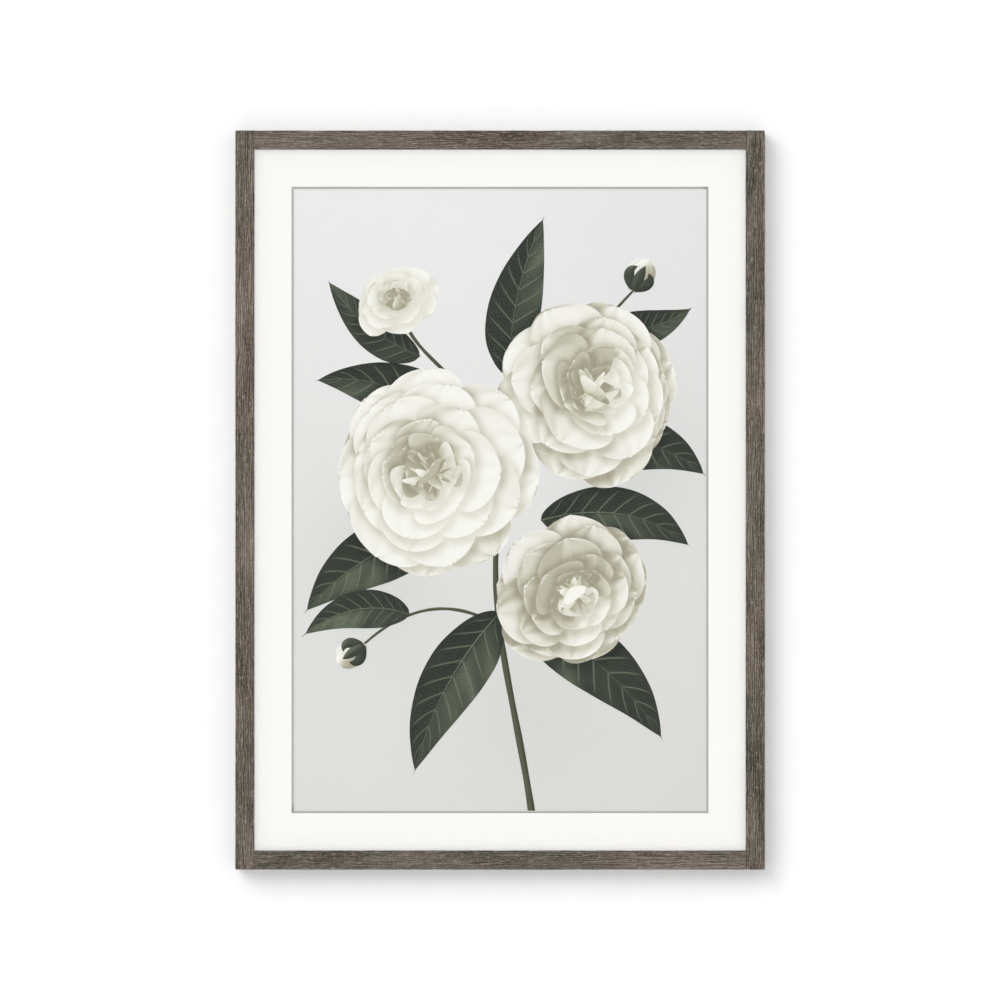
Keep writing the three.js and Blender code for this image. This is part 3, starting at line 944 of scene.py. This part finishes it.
# The spray, from the back to the front.
for draw, rows in (
    (stem, STEMS),
    (leaf, LEAVES),
    (blossom, BLOSSOMS[:1]),
    (bud, BUDS),
    (blossom, BLOSSOMS[1:]),
):
    for row in rows:
        draw(*row)


def inside(points, outline):
    """Whether points are within an outline, also where it crosses itself."""
    x, y = points.T
    x0, y0 = outline.T[:, :, None]
    x1, y1 = np.roll(outline, -1, 0).T[:, :, None]
    left_of = (x1 - x0) * (y - y0) - (x - x0) * (y1 - y0) > 0
    rising = (y0 <= y) & (y1 > y) & left_of
    falling = (y0 > y) & (y1 <= y) & ~left_of
    return rising.sum(0) != falling.sum(0)


def gap_to(points, outline):
    """How far points are from an outline."""
    run = np.roll(outline, -1, 0) - outline
    along = ((points[:, None] - outline) * run).sum(-1) / np.maximum((run**2).sum(-1), 1e-9)
    nearest = outline + np.clip(along, 0, 1)[..., None] * run
    return np.linalg.norm(points[:, None] - nearest, axis=-1).min(1)


def covered(points, asked, index):
    """Which of the points asked about lie within the outline with this number."""
    low_corner, high_corner = boxes[index]
    p = points[asked]
    close = asked[np.all((p > low_corner) & (p < high_corner), axis=1)]
    return close[inside(points[close], outlines[index])]


# One flat map: the sheet's corners, every outline, and points within what shows of each.
outlines = [np.array(square) * paper_half] + [patch["edge"] for patch in patches]
boxes = [(outline.min(0), outline.max(0)) for outline in outlines]
ends = np.cumsum([len(outline) for outline in outlines]).tolist()
loops = [list(range(end - len(outline), end)) for end, outline in zip(ends, outlines)]
sites = list(outlines)
for index, patch in enumerate(patches, 1):
    nodes = patch["nodes"]
    shown = np.flatnonzero(np.all(np.abs(nodes) < paper_half - RIM_CLEAR, axis=1))
    for later in range(index + 1, len(outlines)):
        shown = np.setdiff1d(shown, covered(nodes, shown, later))
    sites.append(nodes[shown] + random.uniform(-0.02, 0.02, (len(shown), 2)))
steps = [np.arange(-h + GROUND_SPACING / 2, h, GROUND_SPACING) for h in paper_half]
lattice = np.stack(np.meshgrid(*steps), -1)
lattice = lattice.reshape(-1, 2) + random.uniform(-1.5, 1.5, (lattice.size // 2, 2))
sites.append(lattice[np.all(np.abs(lattice) < paper_half - 2 * RIM_CLEAR, axis=1)])
found = delaunay_2d_cdt([Vector(p) for p in np.vstack(sites).tolist()], [], loops, 1, 1e-4)
points = np.array([tuple(v) for v in found[0]])
triangles = np.array([tuple(f) for f in found[2]])
middles = points[triangles].mean(1)
on_sheet = np.all(np.abs(middles) < paper_half, axis=1)
triangles, middles = triangles[on_sheet], middles[on_sheet]
topmost = np.zeros(len(triangles), int)
for index in range(len(patches), 0, -1):
    topmost[covered(middles, np.flatnonzero(topmost == 0), index)] = index
used, triangles = np.unique(triangles, return_inverse=True)
points, triangles = points[used], triangles.reshape(-1, 3)


def tones(table, shade):
    """The ink for each shade, from 0 to 1, in a table of tones."""
    shades, inks = zip(*table)
    return np.stack([np.interp(shade, shades, channel) for channel in zip(*inks)], -1)


def ground_ink(p):
    """Pale grey, darker low down and to the right, with soft darker places far out of focus."""
    x, y = (p / paper_half).T
    level = (0.5 + 0.5 * y)[:, None]
    grey = np.array(srgb(220, 220, 217)) * (1 - level) + np.array(srgb(235, 235, 235)) * level
    grey = grey * (1 - 0.05 * smoothstep(-0.2, 1.1, x + 0.2 * y))[:, None]
    for haze_x, haze_y, size, depth in HAZES:
        far = ((p[:, 0] - haze_x) / size) ** 2 + ((p[:, 1] - haze_y) / (size * 1.3)) ** 2
        grey = grey * (1 - depth * np.exp(-far)[:, None] * np.array([1.0, 0.88, 0.98]))
    return grey


def looks_at(p, patch):
    """s, q and facing at points p: a plane fitted through the patch's nearest nodes."""
    away = patch["nodes"][None] - p[:, None]
    distance = np.linalg.norm(away, axis=-1)
    near = np.argsort(distance, axis=1)[:, :FIT_NODES]
    offset = np.take_along_axis(away, near[..., None], 1)
    weight = np.exp(-((np.take_along_axis(distance, near, 1) / FIT_REACH) ** 2)) + 1e-4
    basis = np.concatenate([np.ones((*near.shape, 1)), offset], -1)
    weighted = basis * weight[..., None]
    matrix = np.einsum("nki,nkj->nij", weighted, basis) + np.diag([0, 0.3, 0.3])
    sums = np.einsum("nki,nkj->nij", weighted, patch["looks"][near])
    fitted = np.linalg.solve(matrix, sums)[:, 0]
    return np.clip(fitted[:, 0], 0, 1), np.clip(fitted[:, 1], -1, 1), unit(fitted[:, 2:])


def shade_cast(index, p):
    """Soft shade that the patches above one throw on it at points p."""
    cast = np.zeros(len(p))
    for later in range(index + 1, len(outlines)):
        over = patches[later - 1]["kind"]
        if over == "rib":
            continue
        reach = SHADE_REACH[over]
        box_low, box_high = boxes[later][0] - reach - 4, boxes[later][1] + reach + 4
        if np.any(p.max(0) < box_low) or np.any(p.min(0) > box_high):
            continue
        moved = outlines[later][::2] + np.array(SHADE_SHIFT)
        gap = np.where(inside(p, moved), 0, gap_to(p, moved))
        depth = SHADE_DEPTH[over] * (1 - smoothstep(0, reach, gap)) ** 1.7
        cast = np.maximum(cast, depth)
    return cast


def patch_ink(index, p):
    """The colour of one petal, leaf or stem at points p, and s and q there."""
    patch = patches[index - 1]
    s, q, facing = looks_at(p, patch)
    lit = np.clip(facing @ INK_LIGHT, 0, 1)
    cast = shade_cast(index, p)
    if patch["kind"] == "petal":
        throat = 1 - smoothstep(0, 0.5, s)
        shade = 0.14 + 0.94 * lit**0.8 - cast - 0.28 * throat * (1 - 0.5 * patch["tone"])
        shade = (shade + np.sqrt(shade**2 + 0.05)) / 2
        rim = smoothstep(0.8, 1.0, np.maximum(np.abs(q), s))
        ink = tones(PETAL_TONES, np.clip(shade + 0.05 * rim, 0, 1))
        warmth = (0.36 * (1 - smoothstep(0.0, 0.55, s)) + 0.10 * patch["tone"])[:, None]
        return ink * (1 - warmth * np.array([0.02, 0.0, 0.22])), s, q
    half_way = unit(INK_LIGHT + np.array([0, 0, 1.0]))
    gloss = np.clip(facing @ half_way, 0, 1) ** 26
    shade = 0.05 + 0.5 * lit + 0.30 * gloss - 0.6 * cast + 0.18 * patch["tone"]
    if patch["kind"] == "rib":
        shade = shade + 0.28
    ink = tones(LEAF_TONES, np.clip(shade, 0, 1))
    if patch["kind"] == "stem":
        ink = ink * 0.5 + np.array(srgb(112, 118, 86)) * (0.3 + 0.7 * lit)[:, None] * 0.5
    return ink, s, q


ink = np.ones((len(triangles), 3, 4))
flow = np.zeros((len(triangles), 3, 2))
marks = np.zeros((len(triangles), 3, 4))
for owner in np.unique(topmost):
    rows = np.flatnonzero(topmost == owner)
    used, back = np.unique(triangles[rows], return_inverse=True)
    if owner == 0:
        ink[rows, :, :3] = ground_ink(points[used])[back].reshape(-1, 3, 3)
        continue
    colours, s, q = patch_ink(owner, points[used])
    ink[rows, :, :3] = colours[back].reshape(-1, 3, 3)
    flow[rows] = np.stack([s, q], -1)[back].reshape(-1, 3, 2)
    kind = patches[owner - 1]["kind"]
    marks[rows] = (kind == "petal", kind == "leaf", owner / len(patches), 1)

# The sheet's bare sides and back hang from the rim, whose edges are each in one triangle only.
runs = {pair for corners in triangles.tolist() for pair in zip(corners, corners[1:] + corners[:1])}
follows = {a: b for a, b in runs if (b, a) not in runs}
rim = [min(follows)]
while follows[rim[-1]] != rim[0]:
    rim.append(follows[rim[-1]])
back_rim = list(range(len(points), len(points) + len(rim)))
sides = zip(back_rim, back_rim[1:] + back_rim[:1], rim[1:] + rim[:1], rim)
centre_x, centre_z = (paper_low.x + paper_high.x) / 2, (paper_low.z + paper_high.z) / 2
front = [(centre_x + x * MM, paper_low.y, centre_z + z * MM) for x, z in points.tolist()]
back = [(front[i][0], paper_high.y, front[i][2]) for i in rim]
paper = new_object("art_print", front + back, [*triangles.tolist(), *sides, back_rim[::-1]])


def on_corners(values, bare):
    """Values for each corner of the printed face, and then a bare one for all others: at every
    edge of the rim four on its side and one on the back."""
    rows = values.reshape(-1, values.shape[-1])
    return np.vstack([rows, np.full((5 * len(rim), rows.shape[1]), bare)]).ravel()


mesh = paper.data
for name, values, bare in (("ink", ink, 1.0), ("marks", marks, 0.0)):
    colours = mesh.color_attributes.new(name, "FLOAT_COLOR", "CORNER")
    colours.data.foreach_set("color", on_corners(values, bare))
mesh.uv_layers.new(name="flow").data.foreach_set("uv", on_corners(flow, 0.0))

printed, wire = finish("printed_paper", 0.8, Specular_IOR_Level=0.15)
inked = wire.node("ShaderNodeAttribute", {"attribute_name": "ink"}).scaled(PAPER_WHITE)
marked = wire.node("ShaderNodeAttribute", {"attribute_name": "marks"})
is_petal, is_leaf, patch_number = marked.parts("ShaderNodeSeparateColor")
flow_at = wire.node("ShaderNodeUVMap", {"uv_map": "flow"})
along, across = flow_at.parts("ShaderNodeSeparateXYZ")[:2]
from_rib = abs(across)
folds = flow_at.stretched((2.0, 13.0, 1.0)).noise(1.0, 3.0, 0.55, patch_number * 90.0)
side_veins = (along * 62.0 - from_rib * 9.0).sine().between(0.86, 1.0)
fading = from_rib.between(1.0, 0.55) * along.between(0.02, 0.12)
place = wire.place()
tooth = place.noise(1900.0, 2.0, 0.6, 8.0)
mottling = place.noise(260.0, 2.0, 0.5, 1.0).between(0.4, 0.7)
folded = (is_petal * folds.between(0.35, 0.75) * 0.16).mix(inked, tint(205, 201, 184))
veined = (is_leaf * side_veins * fading * 0.42).mix(folded, tint(118, 126, 104))
mottled = (is_leaf * mottling * 0.22).mix(veined, tint(60, 66, 54))
wire.feed(Base_Color=mottled)
wire.feed(Normal=wire.bump(tooth, 0.01 * MM, 0.2))
mesh.materials.append(printed)
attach(paper, ROOT)
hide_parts("print")


# ---------------------------------------------------------------- foam board and filler card
# A sheet of foam board backs the print, and a sheet of corrugated card makes up the rebate's
# depth. Both are shut in, and only their edges would show with the panel out.
foam, wire = finish("foam_core", 0.9)
cells = wire.place().noise(1500.0, 3.0, 0.6, 2.0)
wire.feed(Base_Color=cells.mix(tint(236, 233, 226), tint(247, 246, 242)))
wire.feed(Normal=wire.bump(cells, 0.05 * MM))
clothe("foam_board", foam)

card, wire = finish("corrugated_card", 0.9)
place = wire.place()
pulp = place.noise(700.0, 4.0, 0.6, 3.0)
wire.feed(Base_Color=pulp.mix(tint(166, 131, 90), tint(188, 155, 112)))
wire.feed(Normal=wire.bump(pulp, 0.05 * MM))
clothe("filler_card", card)


# ---------------------------------------------------------------- back panel
# Tempered hardboard with its screened side out: brown pressed fibre with the print of the mesh
# that it was pressed on.
SCREEN_TURN = 2600.0  # radians a metre: the mesh repeats every 2.4 mm

hardboard, wire = finish("hardboard")
place = wire.place()
fibres = place.noise(420.0, 5.0, 0.65, 7.0)
clouds = place.noise(16.0, 3.0, 0.5, 3.0)
px, pz = place.parts("ShaderNodeSeparateXYZ")[::2]
screen = ((px * SCREEN_TURN).sine() * (pz * SCREEN_TURN).sine()).between(-0.5, 0.9)
brown = clouds.between(0.3, 0.7).mix(tint(119, 86, 57), tint(130, 95, 64))
flecked = fibres.between(0.35, 0.72).mix(brown, tint(88, 60, 38))
wire.feed(Base_Color=(screen * 0.25).mix(flecked, tint(80, 56, 36)))
wire.feed(Roughness=0.62 + fibres * 0.3)
wire.feed(Normal=wire.bump(fibres * 0.5 - screen * 0.8, 0.12 * MM, 0.8))
clothe("back_panel", hardboard)


# ---------------------------------------------------------------- turn buttons and screws
# Stamped steel tongues, zinc plated, each pinched under a pan-head screw so that it can be swung
# off the panel. The stamping has left their edges a little round.
STATIONS = [f"{side}_{half}" for side in ("left", "right") for half in ("upper", "lower")]
STATIONS += [f"{level}_{side}" for level in ("top", "bottom") for side in ("left", "right")]
STAMPED_EDGE = 0.18 * MM
SCREW_EDGE = 0.06 * MM
MERGED = 0.004 * MM
FLAT = math.radians(1)

zinc, wire = finish("zinc_plate", metallic=1.0)
place = wire.place()
spangle = place.noise(900.0, 3.0, 0.6, 4.0)
scratches = place.stretched((2600, 2600, 180)).noise(1.0, 2.0, 0.5, 5.0)
wire.feed(Base_Color=spangle.mix(tint(184, 186, 186), tint(212, 214, 212)))
wire.feed(Roughness=0.26 + spangle * 0.2 + scratches * 0.12)
wire.feed(Normal=wire.bump(scratches, 0.01 * MM, 0.5))


def softened(name, node, body, look, radius, angle=30):
    """Puts in a CAD piece's place a copy with the edges sharper than the angle rounded off. Its
    look is a material and the name of a slot, which is not used."""
    material, slot_name = look
    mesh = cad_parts[node].data.copy()
    made = bpy.data.objects.new(name, mesh)
    bpy.context.scene.collection.objects.link(made)
    edit = bmesh.new()
    edit.from_mesh(mesh)
    bmesh.ops.remove_doubles(edit, verts=edit.verts, dist=MERGED)
    bmesh.ops.dissolve_limit(edit, angle_limit=FLAT, verts=edit.verts, edges=edit.edges)
    edit.to_mesh(mesh)
    edit.free()
    mesh.materials.clear()
    mesh.materials.append(material)
    modifier = made.modifiers.new("rounded", "BEVEL")
    modifier.width = radius
    modifier.segments = 2
    modifier.limit_method = "ANGLE"
    modifier.angle_limit = math.radians(angle)
    bake_modifiers(made)
    smooth(made, 38)
    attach(made, body)
    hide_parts(node)


zinc_look = (zinc, "zinc_plate")
for station in STATIONS:
    button = f"button_{station}"
    softened(f"turn_{button}", button, f"turn_{station}", zinc_look, STAMPED_EDGE)
    softened(f"pan_screw_{station}", f"screw_{station}", ROOT, zinc_look, SCREW_EDGE, 40)


# ---------------------------------------------------------------- sawtooth hanger
# A brass-plated steel strip, nailed to the top rail at both ends. Its raised middle has the
# notched lower edge that sits on the wall's nail.
STRIP_EDGE = 0.12 * MM
NAIL_EDGE = 0.05 * MM

brass, wire = finish("brass_plate", metallic=1.0)
place = wire.place()
worn = place.noise(320.0, 4.0, 0.6, 2.0)
rolled = place.stretched((160, 2200, 2200)).noise(1.0, 2.0, 0.5, 3.0)
rubbed = worn.between(0.4, 0.75)
wire.feed(Base_Color=rubbed.mix(tint(214, 184, 122), tint(192, 164, 110)))
wire.feed(Roughness=0.24 + worn * 0.2 + rolled * 0.1)
wire.feed(Normal=wire.bump(rolled, 0.01 * MM, 0.5))
brass_look = (brass, "brass_plate")
softened("sawtooth_hanger", "hanger", ROOT, brass_look, STRIP_EDGE)
for side in ("left", "right"):
    softened(f"hanger_nail_{side}", f"nail_{side}", ROOT, brass_look, NAIL_EDGE, 40)


# ---------------------------------------------------------------- wall pads
# Round pads of grey felt, stamped out of sheet and glued on near the corners, so that the frame
# stands just off the wall and doesn't mark it.
PAD_EDGE = 0.1 * MM

felt, wire = finish("grey_felt", 1.0, Specular_IOR_Level=0.1)
place = wire.place()
matted = place.noise(2400.0, 4.0, 0.7, 1.0)
wire.feed(Base_Color=matted.mix(tint(66, 66, 65), tint(112, 112, 110)))
wire.feed(Normal=wire.bump(matted, 0.2 * MM))
for level in ("top", "bottom"):
    for side in ("left", "right"):
        node = f"pad_{level}_{side}"
        softened(f"felt_{node}", node, ROOT, (felt, "felt"), PAD_EDGE, 50)
